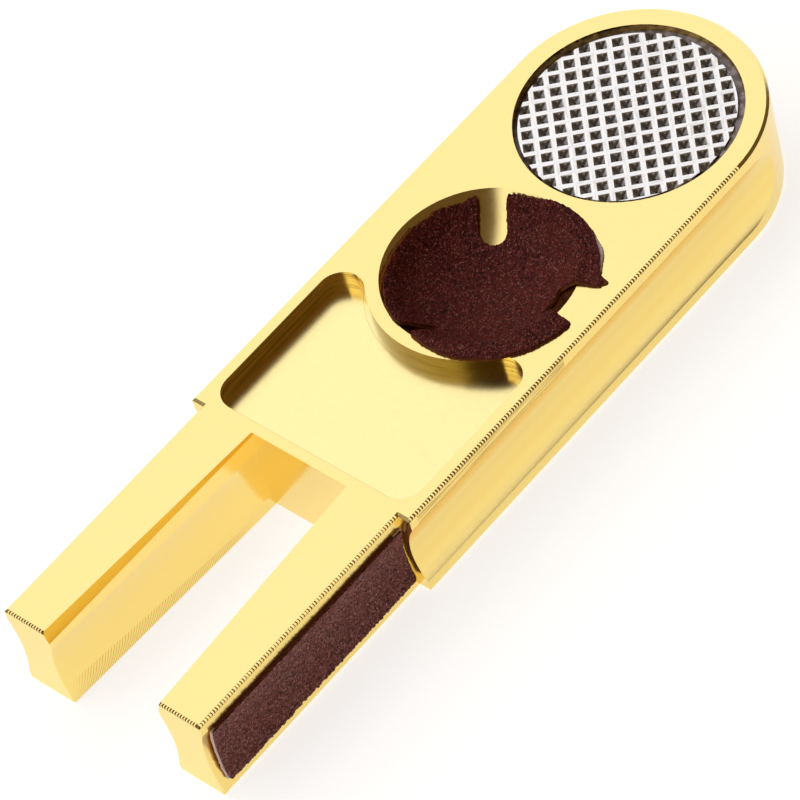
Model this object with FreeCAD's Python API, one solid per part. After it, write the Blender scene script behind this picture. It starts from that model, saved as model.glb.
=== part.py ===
"""Fork-shaped pocket tool for dressing the tip of a cue: one gold-coloured metal bar that carries
a pitted steel scuffing disc, a spherical shaping dish lined with abrasive paper, a shallow
pocket, and a two-pronged fork with a strip of abrasive paper down the outside of each prong.

Millimetres. +X points to the round end, +Z is up, and the origin is on the underside, in the
middle of the bar's length and width. Nothing on the tool moves.
"""
import FreeCAD, Part
import math
import os

# ---- the bar -------------------------------------------------------------------------------
overall_length = 83.5          # round end to prong tips
body_width = 25.0              # across the bar, and the diameter of the round end
body_thickness = 10.0          # top face to underside
edge_break = 0.25              # chamfer along the outer edges

# ---- the fork ------------------------------------------------------------------------------
prong_length = 25.7            # shoulder to tip; the slot is as deep
prong_step = 1.25              # how far a prong's outer face is set in from the bar's side
slot_root_width = 10.76        # clear width at the bottom of the slot
slot_mouth_width = 12.6        # clear width at the tips, below the lead-in
lead_in_height_root = 0.3      # sloped lead-in along the slot's top edges
lead_in_height_tip = 1.3
lead_in_slope = 0.33           # width of the lead-in per unit of its height
slot_groove_radius = 11.0      # shallow hollow along each wall of the slot
slot_groove_depth_root = 0.42
slot_groove_depth_tip = 0.54
slot_groove_drop = 0.5         # how far the hollow's axis lies below mid-thickness

# ---- long grooves in the sides of the bar and in the outer faces of the prongs --------------
side_groove_width = 7.3
side_groove_depth = 1.02
prong_groove_width = 7.4
prong_groove_depth = 0.6

# ---- scuffing disc -------------------------------------------------------------------------
disc_wall = 2.07               # metal left between the disc's recess and the round end
disc_clearance = 0.58          # gap between the disc's edge and the recess wall
disc_inset = 0.4               # disc's face below the top face
disc_thickness = 1.25
disc_glue_thickness = 0.15
disc_shift_x = -0.14           # the disc was glued in a little off centre
disc_shift_y = 0.09
pit_pitch = 1.51               # square pits in rows at about 45 degrees to the tool
pit_size = 1.0
pit_depth = 0.48
pit_flat = 0.1                 # flat at the bottom of a pit
pit_row_angle = 44.6
pit_phase_u = 1.43             # where the first pit lies from the disc's middle, along its rows
pit_phase_v = 1.46

# ---- shaping dish --------------------------------------------------------------------------
dish_rim_radius = 9.06
dish_sphere_radius = 12.1
dish_gap = 1.21                # land between the dish and the disc's recess

# ---- shallow pocket between the dish and the fork -------------------------------------------
pocket_depth = 1.9
pocket_side_wall = 1.25
pocket_end_wall = 1.05         # metal between the pocket and the bottom of the slot
pocket_web = 1.24              # ring of metal left round the dish
pocket_horn = 3.95             # how far the pocket reaches past the ring on either side
pocket_corner_radius = 2.2

# ---- abrasive paper ------------------------------------------------------------------------
tape_thickness = 0.10          # adhesive film
backing_thickness = 0.20       # paper
grit_thickness = 0.25          # resin and grain
dish_paper_oversize = 0.59     # radius of the die-cut disc beyond the rim that it is pressed into
dish_paper_shift_x = -0.1      # it sits off centre, so one side lies over the rim
dish_paper_shift_y = -1.35
open_notch_angle = 33.0        # relief cuts that let the flat disc take the dish's shape
open_notch_width = 2.7
open_notch_depth = 5.15        # from the disc's edge to the cut's bottom
wedge_notch_angle = -87.0
wedge_notch_mouth = 3.2
wedge_notch_depth = 2.65
closed_notch_angle = 176.0
closed_notch_mouth = 0.5
closed_notch_depth = 2.45
strip_edge_gap = 0.2           # bare groove above and below a strip
strip_tip_gap = 0.85           # bare metal between a strip and the prong's tip
strip_shoulder_gap = 0.65      # and between the strip and the shoulder

# ---- places that follow from the sizes above -------------------------------------------------
half_length = overall_length / 2
half_width = body_width / 2
mid_height = body_thickness / 2
round_centre_x = half_length - half_width
tip_x = -half_length
shoulder_x = tip_x + prong_length
prong_outer_y = half_width - prong_step
recess_radius = half_width - disc_wall
disc_radius = recess_radius - disc_clearance
recess_depth = disc_inset + disc_thickness + disc_glue_thickness
disc_x = round_centre_x + disc_shift_x
disc_y = disc_shift_y
dish_x = round_centre_x - recess_radius - dish_gap - dish_rim_radius
dish_sphere_rise = math.sqrt(dish_sphere_radius**2 - dish_rim_radius**2)
dish_sphere_z = body_thickness + dish_sphere_rise
dish_paper_radius = dish_rim_radius + dish_paper_oversize
strip_length = prong_length - strip_tip_gap - strip_shoulder_gap
strip_width = prong_groove_width - 2 * strip_edge_gap
overrun = 1.0                  # how far a cutting shape runs past the face that it cuts
pit_overrun = 0.05             # the same for the pits, which lie close together

UP = FreeCAD.Vector(0, 0, 1)
FULL_TURN = 360


def vec(x, y, z=0.0):
    return FreeCAD.Vector(x, y, z)


def prism(points, base, height):
    """Upright prism on a closed outline of plan points."""
    corners = [vec(x, y, base) for x, y in points]
    return outline_face(corners).extrude(vec(0, 0, height))


def outline_face(corners):
    return Part.Face(Part.makePolygon(corners + corners[:1]))


def solid_between(lower, upper):
    """Flat-faced solid between two outlines with as many corners as each other."""
    faces = [outline_face(lower), outline_face(upper)]
    for here in range(len(lower)):
        there = (here + 1) % len(lower)
        faces.append(outline_face([lower[here], lower[there], upper[there], upper[here]]))
    return Part.Solid(Part.makeShell(faces))


def mirrored(shape):
    """The same shape on the other side of the tool's long axis."""
    return shape.mirror(vec(0, 0, 0), vec(0, 1, 0))


def groove_radius(width, depth):
    """Radius of the round groove that has this width and depth."""
    return (width**2 / 4 + depth**2) / (2 * depth)


# ---- the bar, piece by piece -------------------------------------------------------------------
def body_blank():
    """Bar with one round end, stepped in at the shoulders to the width of the prongs."""
    body_length = round_centre_x - shoulder_x
    bar = Part.makeBox(body_length, body_width, body_thickness, vec(shoulder_x, -half_width))
    cap = Part.makeCylinder(half_width, body_thickness, vec(round_centre_x, 0))
    prongs = Part.makeBox(prong_length, 2 * prong_outer_y, body_thickness, vec(tip_x, -prong_outer_y))
    return bar.fuse([cap, prongs]).removeSplitter()


def slot_half_width(x):
    """Half the clear width of the slot at x."""
    along = (shoulder_x - x) / prong_length
    return (slot_root_width + (slot_mouth_width - slot_root_width) * along) / 2


def slot_cutter():
    far = tip_x - overrun
    root = slot_half_width(shoulder_x)
    mouth = slot_half_width(far)
    outline = [(shoulder_x, -root), (shoulder_x, root), (far, mouth), (far, -mouth)]
    return prism(outline, -overrun, body_thickness + 2 * overrun)


def lead_in_section(x, height):
    """Triangle that takes a slope of this height off the slot's top edge at x."""
    wall = slot_half_width(x)
    top = body_thickness
    inside = wall - lead_in_slope * overrun
    outside = wall + lead_in_slope * (height + overrun)
    return [
        vec(x, inside, top - height - overrun),
        vec(x, outside, top + overrun),
        vec(x, inside, top + overrun),
    ]


def lead_in_cutter():
    """Slope along one top edge of the slot, growing towards the tip."""
    growth = (lead_in_height_tip - lead_in_height_root) / prong_length
    far = tip_x - overrun
    at_root = lead_in_section(shoulder_x, lead_in_height_root)
    at_far = lead_in_section(far, lead_in_height_tip + growth * overrun)
    return solid_between(at_root, at_far)


def slot_groove_cutter():
    """Long shallow hollow in one wall of the slot, a little deeper at the tip."""
    height = mid_height - slot_groove_drop
    root_y = slot_half_width(shoulder_x) + slot_groove_depth_root - slot_groove_radius
    tip_y = slot_half_width(tip_x) + slot_groove_depth_tip - slot_groove_radius
    along = vec(tip_x, tip_y, height) - vec(shoulder_x, root_y, height)
    step = FreeCAD.Vector(along).normalize() * slot_groove_radius
    start = vec(shoulder_x, root_y, height) - step
    length = along.Length + 2 * slot_groove_radius
    roller = Part.makeCylinder(slot_groove_radius, length, start, along)
    half = Part.makeBox(prong_length + overrun, half_width, body_thickness, vec(tip_x - overrun, 0))
    return roller.common(half)


def long_groove_cutter(width, depth, face_y, x_from, x_to):
    """Round groove along X in a side face at face_y."""
    radius = groove_radius(width, depth)
    start = vec(x_from, face_y - depth + radius, mid_height)
    return Part.makeCylinder(radius, x_to - x_from, start, vec(1, 0))


def pocket_cutter():
    """What an end mill leaves of a rectangle whose far end follows the ring of the dish."""
    ring_radius = dish_rim_radius + pocket_web
    near_x = shoulder_x + pocket_end_wall
    far_x = dish_x - ring_radius + pocket_horn
    side_y = half_width - pocket_side_wall
    floor_z = body_thickness - pocket_depth
    rectangle = Part.makePlane(far_x - near_x, 2 * side_y, vec(near_x, -side_y, floor_z))
    ring_edge = Part.Circle(vec(dish_x, 0, floor_z), UP, ring_radius).toShape()
    outline = rectangle.cut(Part.Face(Part.Wire(ring_edge)))
    mill_path = Part.makeCompound(outline.Faces).makeOffset2D(-pocket_corner_radius)
    milled = mill_path.makeOffset2D(pocket_corner_radius)
    return milled.extrude(vec(0, 0, pocket_depth))


def tool_body():
    blank = body_blank()
    rims = [edge for edge in blank.Edges if not crosses_mid_height(edge)]
    body = blank.makeChamfer(edge_break, rims)
    side_groove = long_groove_cutter(
        side_groove_width, side_groove_depth, half_width, shoulder_x, half_length + overrun)
    prong_groove = long_groove_cutter(
        prong_groove_width, prong_groove_depth, prong_outer_y, tip_x - overrun, shoulder_x)
    one_side = [lead_in_cutter(), slot_groove_cutter(), side_groove, prong_groove]
    other_side = [mirrored(shape) for shape in one_side]
    recess = Part.makeCylinder(
        recess_radius, recess_depth, vec(round_centre_x, 0, body_thickness - recess_depth))
    dish = Part.makeSphere(dish_sphere_radius, vec(dish_x, 0, dish_sphere_z))
    body = body.cut([slot_cutter(), recess, dish, pocket_cutter()])
    body = body.cut(one_side + other_side)
    return body


def crosses_mid_height(edge):
    """True for an edge that runs from the underside to the top."""
    box = edge.BoundBox
    return box.ZMin < mid_height < box.ZMax


# ---- scuffing disc ---------------------------------------------------------------------------
def square(side, z):
    reach = side / 2
    return [vec(-reach, -reach, z), vec(reach, -reach, z), vec(reach, reach, z), vec(-reach, reach, z)]


def pit_cutter():
    """Upside-down square pyramid with a small flat at its point, centred on the disc's axis."""
    face_z = body_thickness - disc_inset
    spread = (pit_size - pit_flat) / pit_depth
    top = square(pit_size + spread * pit_overrun, face_z + pit_overrun)
    point = square(pit_flat, face_z - pit_depth)
    pit = solid_between(point, top)
    pit.rotate(vec(0, 0), UP, pit_row_angle)
    return pit


def pit_places():
    """Middle of every pit that touches the disc, from the disc's own middle."""
    count = math.ceil(disc_radius / pit_pitch) + 1
    turn = math.radians(pit_row_angle)
    places = []
    for row in range(-count, count + 1):
        for column in range(-count, count + 1):
            u = column * pit_pitch + pit_phase_u
            v = row * pit_pitch + pit_phase_v
            if math.hypot(u, v) < disc_radius + pit_size / 2:
                x = u * math.cos(turn) - v * math.sin(turn)
                y = u * math.sin(turn) + v * math.cos(turn)
                places.append((x, y))
    return places


def disc_blank():
    bottom_z = body_thickness - disc_inset - disc_thickness
    return Part.makeCylinder(disc_radius, disc_thickness, vec(disc_x, disc_y, bottom_z))


def scuffing_disc():
    pit = pit_cutter()
    pits = [pit.translated(vec(disc_x + x, disc_y + y)) for x, y in pit_places()]
    return disc_blank().cut(pits)


def disc_glue():
    """Film under the disc, squeezed up round its edge to half the disc's thickness."""
    height = disc_glue_thickness + disc_thickness / 2
    pool = Part.makeCylinder(
        recess_radius, height, vec(round_centre_x, 0, body_thickness - recess_depth))
    return pool.cut(disc_blank())


# ---- abrasive paper ----------------------------------------------------------------------------
def layers():
    """Each layer's name with how far its two faces lie from the metal."""
    tape_top = tape_thickness
    paper_top = tape_top + backing_thickness
    grit_top = paper_top + grit_thickness
    return [("tape", 0.0, tape_top), ("backing", tape_top, paper_top), ("abrasive", paper_top, grit_top)]


def dish_surface_edges(offset, reach):
    """Section of the surface that lies this far above the dish, its rim and the top face."""
    rim = vec(dish_x + dish_rim_radius, 0, body_thickness)
    middle = vec(dish_x, 0, dish_sphere_z)
    radius = dish_sphere_radius - offset
    rim_angle = math.asin(dish_rim_radius / dish_sphere_radius)
    bottom = middle - vec(0, 0, radius)
    half_way = middle + vec(math.sin(rim_angle / 2), 0, -math.cos(rim_angle / 2)) * radius
    over_rim = middle + vec(math.sin(rim_angle), 0, -math.cos(rim_angle)) * radius
    edges = [Part.Arc(bottom, half_way, over_rim).toShape()]
    flat_start = rim + vec(0, 0, offset)
    if offset > 0:
        bend = rim + vec(-math.sin(rim_angle / 2), 0, math.cos(rim_angle / 2)) * offset
        edges.append(Part.Arc(over_rim, bend, flat_start).toShape())
    edges.append(Part.LineSegment(flat_start, vec(dish_x + reach, 0, flat_start.z)).toShape())
    return edges


def dish_layer(near, far):
    """Layer of the paper before it is cut to outline."""
    reach = dish_paper_radius + math.hypot(dish_paper_shift_x, dish_paper_shift_y) + overrun
    lower = dish_surface_edges(near, reach)
    upper = dish_surface_edges(far, reach)
    axis_edge = Part.LineSegment(lower[0].Vertexes[0].Point, upper[0].Vertexes[0].Point).toShape()
    outer_edge = Part.LineSegment(lower[-1].Vertexes[-1].Point, upper[-1].Vertexes[-1].Point).toShape()
    outline = Part.Wire(Part.__sortEdges__(lower + upper + [axis_edge, outer_edge]))
    return Part.Face(outline).revolve(vec(dish_x, 0), UP, FULL_TURN)


def turned(shape, angle):
    """The shape turned about the dish's axis."""
    shape = shape.copy()
    shape.rotate(vec(dish_x, 0), UP, angle)
    return shape


def paper_stencil():
    """Outline of the die-cut disc with its three relief cuts, as a tall solid."""
    tall = body_thickness + 2 * overrun
    centre = vec(dish_x + dish_paper_shift_x, dish_paper_shift_y)
    stencil = Part.makeCylinder(dish_paper_radius, tall, centre)
    beyond = 2 * dish_paper_radius
    half = open_notch_width / 2
    end_x = dish_paper_radius - open_notch_depth + half
    open_slot = Part.makeBox(beyond, open_notch_width, tall, vec(dish_x + end_x, -half))
    open_end = Part.makeCylinder(half, tall, vec(dish_x + end_x, 0))
    open_notch = turned(open_slot.fuse(open_end), open_notch_angle)
    wedge_notch = wedge_cutter(wedge_notch_depth, wedge_notch_mouth, tall)
    closed_notch = wedge_cutter(closed_notch_depth, closed_notch_mouth, tall)
    cuts = [open_notch, turned(wedge_notch, wedge_notch_angle), turned(closed_notch, closed_notch_angle)]
    return stencil.cut(cuts)


def wedge_cutter(depth, mouth, tall):
    """V-shaped cut of this depth, and this wide where it leaves the disc, carried on as far again."""
    point_x = dish_x + dish_paper_radius - depth
    far_x = point_x + 2 * depth
    return prism([(point_x, 0), (far_x, -mouth), (far_x, mouth)], 0, tall)


def strip_layer(near, far):
    """Layer of the paper strip in the groove of the prong on the -Y side."""
    radius = groove_radius(prong_groove_width, prong_groove_depth)
    axis_y = -(prong_outer_y - prong_groove_depth + radius)
    start_x = tip_x + strip_tip_gap
    start = vec(start_x, axis_y, mid_height)
    outer = Part.makeCylinder(radius - near, strip_length, start, vec(1, 0))
    inner = Part.makeCylinder(radius - far, strip_length, start, vec(1, 0))
    corner = vec(start_x, axis_y, mid_height - strip_width / 2)
    band = Part.makeBox(strip_length, radius, strip_width, corner)
    return outer.cut(inner).common(band)


def paper_parts():
    parts = {}
    stencil = paper_stencil()
    for name, near, far in layers():
        parts["dish_" + name] = dish_layer(near, far).common(stencil)
        strip = strip_layer(near, far)
        parts["right_prong_" + name] = strip
        parts["left_prong_" + name] = mirrored(strip)
    return parts


def main():
    parts = {"tool_body": tool_body(), "scuffing_disc": scuffing_disc(), "disc_glue": disc_glue()}
    parts.update(paper_parts())
    os.makedirs("parts", exist_ok=True)
    for name, shape in parts.items():
        box = shape.BoundBox
        print(f"{name:22s} solids {len(shape.Solids)} valid {shape.isValid()} volume {shape.Volume:9.3f}"
              f" size {box.XLength:.2f} x {box.YLength:.2f} x {box.ZLength:.2f}")
        shape.exportStep(f"parts/{name}.step")


main()
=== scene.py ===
# %% [markdown]
# # A fork-shaped tool for dressing the tip of a cue
#
# The tool is one gold-coloured bar with a pitted steel disc, a dish lined with abrasive paper, a
# shallow pocket and two prongs. The solid design arrives as a fixed frame. This lesson gives the
# bar its finish, and rebuilds in mesh code the pieces whose surface matters most up close: the
# disc, the glue round it, and the abrasive papers with their grain.
#
# Everything is in metres, so a size in millimetres is written as a number times `MM`.

# %% Load the frame
import bmesh
import bpy
import math
import random
from mathutils import Matrix, Vector, noise


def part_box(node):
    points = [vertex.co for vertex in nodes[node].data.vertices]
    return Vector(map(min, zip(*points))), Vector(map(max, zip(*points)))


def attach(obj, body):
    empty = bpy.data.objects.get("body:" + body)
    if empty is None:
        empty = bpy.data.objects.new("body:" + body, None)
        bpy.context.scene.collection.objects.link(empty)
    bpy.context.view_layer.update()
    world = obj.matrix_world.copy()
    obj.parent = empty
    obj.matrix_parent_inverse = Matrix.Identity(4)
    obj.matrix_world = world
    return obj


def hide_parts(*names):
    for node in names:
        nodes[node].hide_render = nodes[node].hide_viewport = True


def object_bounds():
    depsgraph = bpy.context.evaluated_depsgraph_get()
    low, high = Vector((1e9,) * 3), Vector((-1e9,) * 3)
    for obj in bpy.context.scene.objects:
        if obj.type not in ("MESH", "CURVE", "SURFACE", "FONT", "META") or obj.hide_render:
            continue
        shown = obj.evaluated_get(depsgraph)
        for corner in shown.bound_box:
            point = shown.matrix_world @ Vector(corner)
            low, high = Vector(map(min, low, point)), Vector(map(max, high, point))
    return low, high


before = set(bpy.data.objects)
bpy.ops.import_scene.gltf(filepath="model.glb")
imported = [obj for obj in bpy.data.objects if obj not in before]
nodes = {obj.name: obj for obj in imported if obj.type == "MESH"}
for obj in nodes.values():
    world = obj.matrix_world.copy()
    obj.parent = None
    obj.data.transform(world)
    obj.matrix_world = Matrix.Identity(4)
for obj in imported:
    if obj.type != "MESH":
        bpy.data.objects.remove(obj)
cad_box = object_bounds()
MM = 0.001
print("pieces in the frame:", ", ".join(sorted(nodes)))
print("whole size, mm:", [round(v / MM, 2) for v in cad_box[1] - cad_box[0]])

# %% [markdown]
# ## Camera
#
# A long lens from about 45 cm keeps the two prongs nearly parallel. The camera is placed by the
# point it looks at, its heading, how far it looks down, and a roll that lays the tool along the
# picture's diagonal. Those four are easier to reason about than an Euler rotation.

# %% Camera
def aim(point, heading, tilt, roll, distance):
    """Matrix of a camera that looks along heading (degrees from +X) and down by tilt."""
    turn, down = math.radians(heading), math.radians(tilt)
    level = Vector((math.cos(turn), math.sin(turn), 0))
    forward = level * math.cos(down) - Vector((0, 0, math.sin(down)))
    right = forward.cross(Vector((0, 0, 1))).normalized()
    up = right.cross(forward)
    spin = Matrix.Rotation(math.radians(roll), 3, forward)
    right, up = spin @ right, spin @ up
    place = point - forward * distance
    rows = [(right[i], up[i], -forward[i], place[i]) for i in range(3)]
    return Matrix(rows + [(0, 0, 0, 1)])


body_low, body_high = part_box("tool_body")
top_z = body_high.z
look_at = Vector((-6.5 * MM, -3.4 * MM, top_z))
camera_data = bpy.data.cameras.new("camera")
camera_data.sensor_width = 36.0
camera_data.lens = 235.8
camera_data.clip_start, camera_data.clip_end = 0.02, 20.0
camera = bpy.data.objects.new("camera", camera_data)
camera.matrix_world = aim(look_at, heading=53.58, tilt=49.74, roll=17.23, distance=446.6 * MM)
bpy.context.scene.collection.objects.link(camera)
bpy.context.scene.camera = camera
print("camera stands at, mm:", [round(v / MM, 1) for v in camera.matrix_world.translation])

# %% [markdown]
# ## Nodes, shortly
#
# Every finish below is a small tree of shader nodes. Two helpers keep those trees readable: one
# makes a node and sets its inputs by name, the other makes a node group with named sockets. A
# group is right for an effect that several finishes share, because it is built once and each
# finish gives it its own values.

# %% Node helpers
def add_node(tree, kind, inputs=None, **settings):
    """A node of this kind, with its settings and the values or links of its inputs."""
    made = tree.nodes.new(kind)
    for name, value in settings.items():
        setattr(made, name, value)
    for name, value in (inputs or {}).items():
        if isinstance(value, bpy.types.NodeSocket):
            tree.links.new(value, made.inputs[name])
        else:
            made.inputs[name].default_value = value
    return made


def calc(tree, operation, first, second=0.0, third=None):
    """Result of a Math node."""
    inputs = {0: first, 1: second}
    if third is not None:
        inputs[2] = third
    return add_node(tree, "ShaderNodeMath", inputs, operation=operation).outputs[0]


def step_up(tree, value, low, high):
    """0 below low, 1 above high, smooth between."""
    inputs = {"Value": value, "From Min": low, "From Max": high}
    return add_node(tree, "ShaderNodeMapRange", inputs, interpolation_type="SMOOTHSTEP").outputs[0]


def blend_colours(tree, share, first, second):
    """From the first colour at share 0 to the second at share 1."""
    inputs = {0: share, 6: first, 7: second}
    mixed = add_node(tree, "ShaderNodeMix", inputs, data_type="RGBA")
    return mixed.outputs[2]


def new_finish(name, **shader_values):
    """A material with a Principled shader; returns it with its tree and shader."""
    finish = bpy.data.materials.new(name)
    finish.use_nodes = True
    shader = finish.node_tree.nodes["Principled BSDF"]
    for socket, value in shader_values.items():
        shader.inputs[socket.replace("_", " ")].default_value = value
    return finish, finish.node_tree, shader


def new_group(name, inputs, outputs):
    """An empty node group with float, vector or colour sockets; returns tree, its inputs and output."""
    tree = bpy.data.node_groups.new(name, "ShaderNodeTree")
    for socket, (kind, value) in inputs.items():
        made = tree.interface.new_socket(socket, in_out="INPUT", socket_type=kind)
        if value is not None:
            made.default_value = value
    for socket, kind in outputs.items():
        tree.interface.new_socket(socket, in_out="OUTPUT", socket_type=kind)
    entry = tree.nodes.new("NodeGroupInput")
    leave = tree.nodes.new("NodeGroupOutput")
    return tree, entry.outputs, leave.inputs


def place_group(tree, group, inputs):
    placed = add_node(tree, "ShaderNodeGroup", None, node_tree=group)
    for name, value in inputs.items():
        if isinstance(value, bpy.types.NodeSocket):
            tree.links.new(value, placed.inputs[name])
        else:
            placed.inputs[name].default_value = value
    return placed.outputs


FLOAT, VECTOR = "NodeSocketFloat", "NodeSocketVector"

# %% [markdown]
# ## Studio
#
# Polished metal has no colour of its own until it mirrors something, so the studio matters more
# here than the gold does. A wide soft light overhead and a white table make the flat faces bright.
# The band of dim room between them is what draws the thin dark lines along the chamfers and the
# brown shading inside the dish. The room is dimmest in front of the tool.

# %% Room and floor
def build_room(bright, dim):
    """World that is bright overhead, dim round the horizon and dim on the side nearest the viewer."""
    world = bpy.data.worlds.new("studio")
    bpy.context.scene.world = world
    world.use_nodes = True
    tree = world.node_tree
    ray = add_node(tree, "ShaderNodeTexCoord").outputs["Generated"]
    height = add_node(tree, "ShaderNodeSeparateXYZ", {"Vector": ray}).outputs["Z"]
    dim_side = Vector((0.35, -0.90, 0.25)).normalized()
    towards = add_node(tree, "ShaderNodeVectorMath", {0: ray, 1: dim_side}, operation="DOT_PRODUCT")
    overhead = step_up(tree, height, 0.34, 0.46)
    behind = step_up(tree, towards.outputs["Value"], 0.11, -0.01)
    lit = calc(tree, "MULTIPLY", overhead, behind)
    colour = blend_colours(tree, lit, dim, bright)
    tree.links.new(colour, tree.nodes["Background"].inputs["Color"])


def build_floor(size, glow):
    outline = bmesh.new()
    bmesh.ops.create_grid(outline, x_segments=1, y_segments=1, size=size)
    mesh = bpy.data.meshes.new("table")
    outline.to_mesh(mesh)
    outline.free()
    table = bpy.data.objects.new("table", mesh)
    bpy.context.scene.collection.objects.link(table)
    finish, tree, shader = new_finish("table", Roughness=0.9, Emission_Strength=glow)
    shader.inputs["Base Color"].default_value = (0.60, 0.60, 0.60, 1)
    shader.inputs["Emission Color"].default_value = (1, 1, 1, 1)
    mesh.materials.append(finish)


build_room(bright=(1.17, 1.16, 1.15, 1), dim=(0.12, 0.075, 0.03, 1))
build_floor(size=3.0, glow=0.78)
bpy.context.scene.view_settings.view_transform = "Standard"
print("studio: bright ceiling, dim horizon and near side, white table")

# %% [markdown]
# ## Effects that several finishes share
#
# Three small groups carry most of the surface detail. Each reads a point on the piece in
# millimetres and puts out masks between 0 and 1, so a finish can use the same mask for its
# colour, its roughness and its bump.
#
# - *brushing*: noise stretched along one direction, as a cutter or a polishing wheel leaves it.
# - *speckle*: small scattered spots, for dust, nicks and dirt.
# - *grit*: a cell pattern in which every grain gets its own shade.

# %% Shared groups
def point_in_mm(tree):
    """The surface point in the object's own frame, as a vector in millimetres."""
    coordinate = add_node(tree, "ShaderNodeTexCoord").outputs["Object"]
    to_mm = {"Vector": coordinate, "Scale": (1000, 1000, 1000)}
    return add_node(tree, "ShaderNodeMapping", to_mm).outputs[0]


def build_brushing():
    inputs = {"Point": (VECTOR, None), "Stretch": (VECTOR, (0.15, 4.0, 4.0)), "Contrast": (FLOAT, 1.0)}
    tree, given, result = new_group("brushing", inputs, {"Lines": FLOAT, "Bands": FLOAT})
    stretched = add_node(tree, "ShaderNodeVectorMath", {0: given["Point"], 1: given["Stretch"]},
                         operation="MULTIPLY").outputs[0]
    fine = add_node(tree, "ShaderNodeTexNoise", {"Vector": stretched, "Scale": 2.2, "Detail": 3.0})
    broad = add_node(tree, "ShaderNodeTexNoise", {"Vector": stretched, "Scale": 0.35, "Detail": 1.0})
    centred = calc(tree, "SUBTRACT", fine.outputs[0], 0.5)
    spread = calc(tree, "MULTIPLY_ADD", centred, given["Contrast"], 0.5)
    tree.links.new(spread, result["Lines"])
    tree.links.new(step_up(tree, broad.outputs[0], 0.42, 0.62), result["Bands"])
    return tree


def build_speckle():
    inputs = {"Point": (VECTOR, None), "Spacing": (FLOAT, 1.0), "Size": (FLOAT, 0.1), "Share": (FLOAT, 0.3)}
    tree, given, result = new_group("speckle", inputs, {"Spots": FLOAT})
    frequency = calc(tree, "DIVIDE", 1.0, given["Spacing"])
    cells = add_node(tree, "ShaderNodeTexVoronoi", {"Vector": given["Point"], "Scale": frequency})
    away = calc(tree, "MULTIPLY", cells.outputs["Distance"], given["Spacing"])
    near = calc(tree, "LESS_THAN", away, given["Size"])
    shade = add_node(tree, "ShaderNodeSeparateColor", {"Color": cells.outputs["Color"]}).outputs[0]
    chosen = calc(tree, "LESS_THAN", shade, given["Share"])
    tree.links.new(calc(tree, "MULTIPLY", near, chosen), result["Spots"])
    return tree


def build_grit():
    inputs = {"Point": (VECTOR, None), "Grain": (FLOAT, 0.13)}
    tree, given, result = new_group("grit", inputs, {"Shade": FLOAT, "Glint": FLOAT, "Height": FLOAT,
                                                     "Patches": FLOAT})
    frequency = calc(tree, "DIVIDE", 1.0, given["Grain"])
    cells = add_node(tree, "ShaderNodeTexVoronoi", {"Vector": given["Point"], "Scale": frequency})
    split = add_node(tree, "ShaderNodeSeparateColor", {"Color": cells.outputs["Color"]})
    tree.links.new(split.outputs[0], result["Shade"])
    tree.links.new(step_up(tree, split.outputs[1], 0.86, 0.94), result["Glint"])
    tree.links.new(calc(tree, "SUBTRACT", 1.0, cells.outputs["Distance"]), result["Height"])
    patches = add_node(tree, "ShaderNodeTexNoise", {"Vector": given["Point"], "Scale": 0.55, "Detail": 4.0})
    tree.links.new(step_up(tree, patches.outputs[0], 0.35, 0.65), result["Patches"])
    return tree


brushing, speckle, grit = build_brushing(), build_speckle(), build_grit()
print("shared groups:", ", ".join(group.name for group in (brushing, speckle, grit)))

# %% [markdown]
# ## Gold-coloured metal
#
# The bar is one piece of bright gold-coloured metal. Its cutter marks differ from place to place:
# fine lines run along the sides and along the pocket's wall, whose top edge is ticked, rings lie in
# the dish, and a thin line from the cutter's last pass runs just inside the pocket's floor. Some
# light and shade is painted into the colour too: the upright faces get a warmer gold as a painted
# reflection, the ticks are painted lighter as highlights, and the pocket's wall stripes, its curved
# wall beside the dish, the chatter marks and the pocket's near top edge are painted darker as shade.
# One material on one mesh can hold all of them, because every place is known from the frame: each
# zone is a smooth mask on the point's own coordinates.

# %% Places on the bar
shoulder_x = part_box("right_prong_abrasive")[1].x / MM + 0.65
disc_low, disc_high = [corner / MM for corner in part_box("scuffing_disc")]
recess_low, recess_high = [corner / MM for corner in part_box("disc_glue")]
recess_x = (recess_low.x + recess_high.x) / 2
recess_radius = (recess_high.x - recess_low.x) / 2
disc_x, disc_y = (disc_low.x + disc_high.x) / 2, (disc_low.y + disc_high.y) / 2
disc_radius = (disc_high.x - disc_low.x) / 2
rim_radius, sphere_radius, rim_gap = 9.06, 12.1, 1.21
dish_x = recess_x - recess_radius - rim_gap - rim_radius
top = top_z / MM
half_width = body_high.y / MM
sphere_z = top + math.sqrt(sphere_radius ** 2 - rim_radius ** 2)
pocket_floor = top - 1.9
pocket_side, pocket_near = half_width - 1.25, shoulder_x + 1.05
web_radius = rim_radius + 1.24
wall_tick_pitch, slant_pitch = 0.34, 0.36
print(f"dish at x {dish_x:.2f}, disc at {disc_x:.2f}, {disc_y:.2f}, shoulder at {shoulder_x:.2f} mm")


# %% Gold finish
def between(tree, value, low, high, soft=0.05):
    """1 where the value lies between low and high."""
    rise = step_up(tree, value, low - soft, low + soft)
    fall = step_up(tree, value, high + soft, high - soft)
    return calc(tree, "MULTIPLY", rise, fall)


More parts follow.
